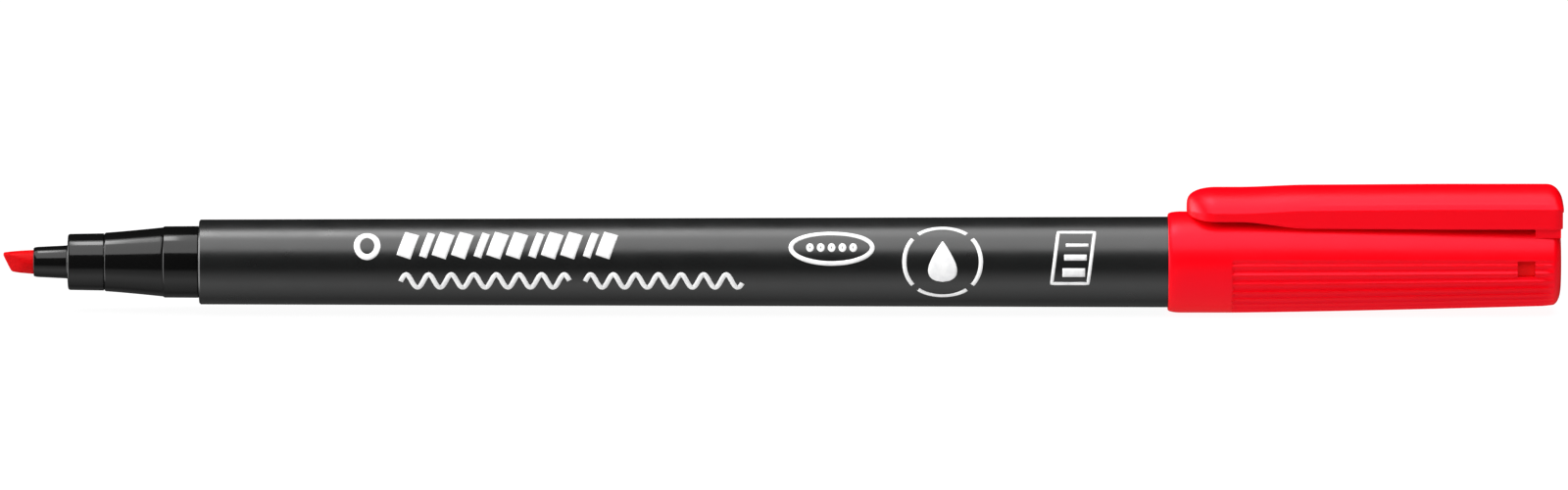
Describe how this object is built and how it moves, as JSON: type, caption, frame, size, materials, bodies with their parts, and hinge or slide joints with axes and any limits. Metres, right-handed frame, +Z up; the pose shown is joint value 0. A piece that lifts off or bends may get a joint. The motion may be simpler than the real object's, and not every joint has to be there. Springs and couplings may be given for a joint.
{
  "type": "felt tip marker",
  "caption": "Slim felt tip marker with a chisel nib, a tapered barrel and a fluted cap with a pocket clip, shown with the cap posted on the rear end.",
  "frame": {"origin": "under the middle of the pen, at the height of the cap's lowest point, with the pen's axis level", "axes": "+X along the pen from the nib to the cap's closed end, +Y across, +Z up through the pocket clip"},
  "size_m": [0.159, 0.0104, 0.0132],
  "materials": {
    "nib_felt": "dense red ink-soaked felt",
    "section_black": "smooth glossy black",
    "barrel_black": "satin black with white print",
    "cap_red": "glossy bright red",
    "liner_red": "plain red",
    "ink_fibre": "ink-soaked polyester fibre",
    "clear_film": "thin glossy wrap",
    "tube_white": "translucent white",
    "print_white": "white screen print"
  },
  "bodies": {
    "pen_body": {"nib": "nib_felt", "nib_holder": "section_black", "front_section": "section_black", "barrel": "barrel_black", "reservoir_core": "ink_fibre", "reservoir_film": "clear_film", "breather_tube": "tube_white", "end_plug": "liner_red"},
    "cap_liner": {"inner_cap": "liner_red"},
    "cap": {"cap_shell": "cap_red"},
    "clip": {"pocket_clip": "cap_red"}
  },
  "joints": [
    {"name": "cap_pull", "type": "slide", "parent": "pen_body", "child": "cap_liner", "axis": [1, 0, 0], "range_m": [0, 0.03]},
    {"name": "cap_twist", "type": "hinge", "parent": "cap_liner", "child": "cap", "pos_m": [0.0593, 0, 0.00517], "axis": [1, 0, 0], "continuous": true},
    {"name": "clip_flex", "type": "hinge", "parent": "cap", "child": "clip", "pos_m": [0.07925, 0, 0.01082], "axis": [0, 1, 0], "range_deg": [0, 3], "stiffness_Nm_per_rad": 0.6}
  ]
}
